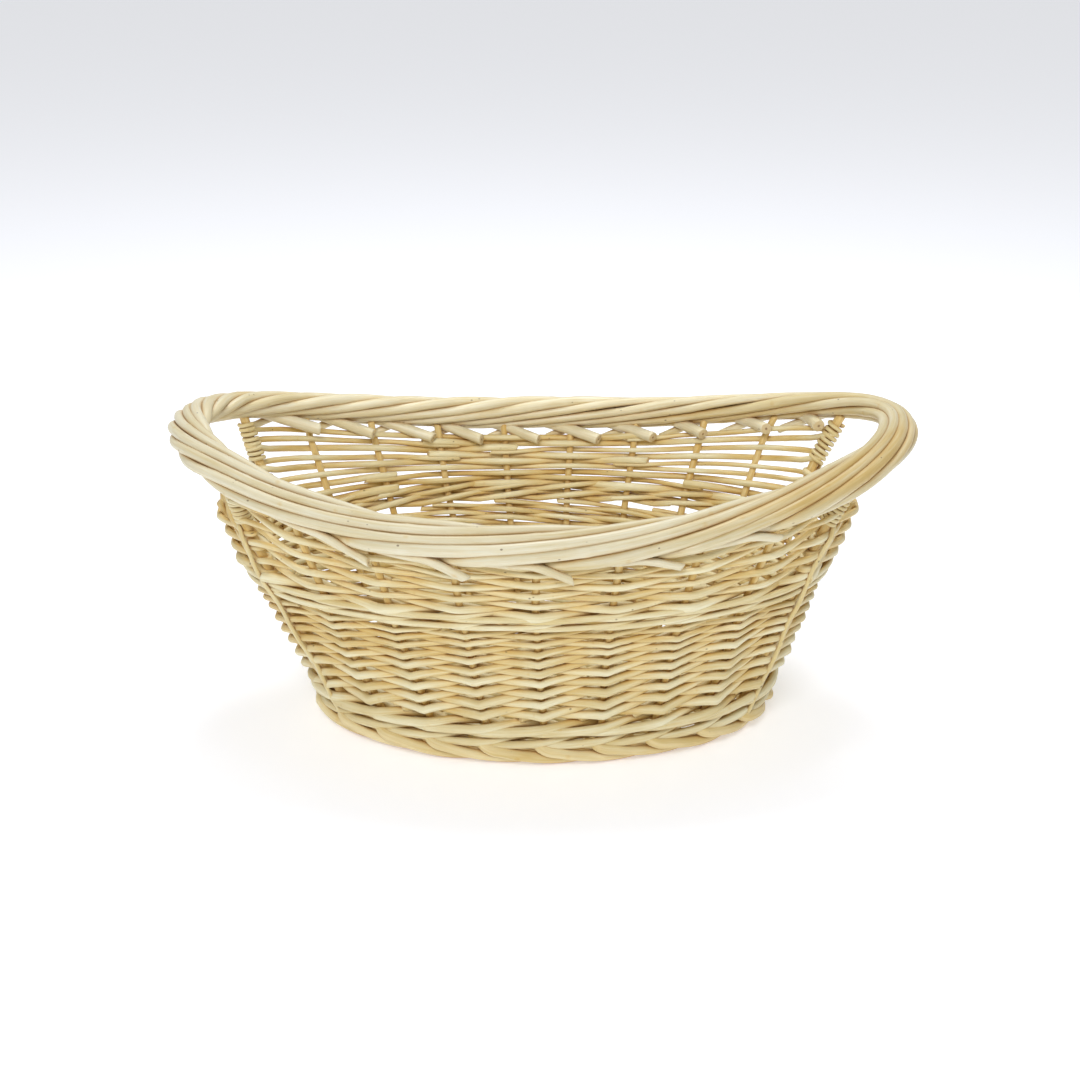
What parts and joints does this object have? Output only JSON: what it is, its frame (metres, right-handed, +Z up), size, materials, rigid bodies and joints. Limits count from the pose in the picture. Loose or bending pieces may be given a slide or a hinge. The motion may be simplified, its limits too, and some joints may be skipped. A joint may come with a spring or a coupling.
{
  "type": "woven fruit basket",
  "caption": "Oval flared basket of peeled willow with a rolled rope-like rim, hand-holes under its raised ends and a rolled foot.",
  "frame": {"origin": "middle of the base, on the plane that the foot rests on", "axes": "+X along the long axis towards one hand-hole, +Y towards the back long side, +Z up"},
  "size_m": [0.4858, 0.2958, 0.2086],
  "materials": {
    "base_sticks": "peeled willow, dull",
    "base_weave": "peeled willow, dull",
    "foot_rods": "peeled willow, soft sheen",
    "stakes": "peeled willow, soft sheen",
    "weavers": "peeled willow, soft sheen",
    "wales": "peeled willow, soft sheen",
    "rim_rods": "peeled willow, soft sheen"
  },
  "bodies": {
    "root": {"base_long_sticks": "base_sticks", "base_cross_sticks": "base_sticks", "base_weave": "base_weave", "foot_border": "foot_rods", "upsett_wale": "wales", "side_stakes_front": "stakes", "side_stakes_back": "stakes", "end_stakes_left": "stakes", "end_stakes_right": "stakes", "lower_siding": "weavers", "mid_wale_lower": "wales", "mid_wale_upper": "wales", "upper_siding_front": "weavers", "upper_siding_back": "weavers", "end_siding_left": "weavers", "end_siding_right": "weavers", "post_back_right": "stakes", "post_back_left": "stakes", "post_front_left": "stakes", "post_front_right": "stakes", "post_wrap_back_right": "weavers", "post_wrap_back_left": "weavers", "post_wrap_front_left": "weavers", "post_wrap_front_right": "weavers", "rim_rod_1": "rim_rods", "rim_rod_2": "rim_rods", "rim_rod_3": "rim_rods", "rim_rod_4": "rim_rods", "rim_rod_5": "rim_rods", "rim_rod_6": "rim_rods", "rim_rod_7": "rim_rods", "rim_rod_8": "rim_rods", "rim_rod_9": "rim_rods", "rim_rod_10": "rim_rods", "rim_rod_11": "rim_rods", "rim_rod_12": "rim_rods", "rim_rod_13": "rim_rods", "rim_rod_14": "rim_rods", "rim_rod_15": "rim_rods"}
  },
  "joints": []
}
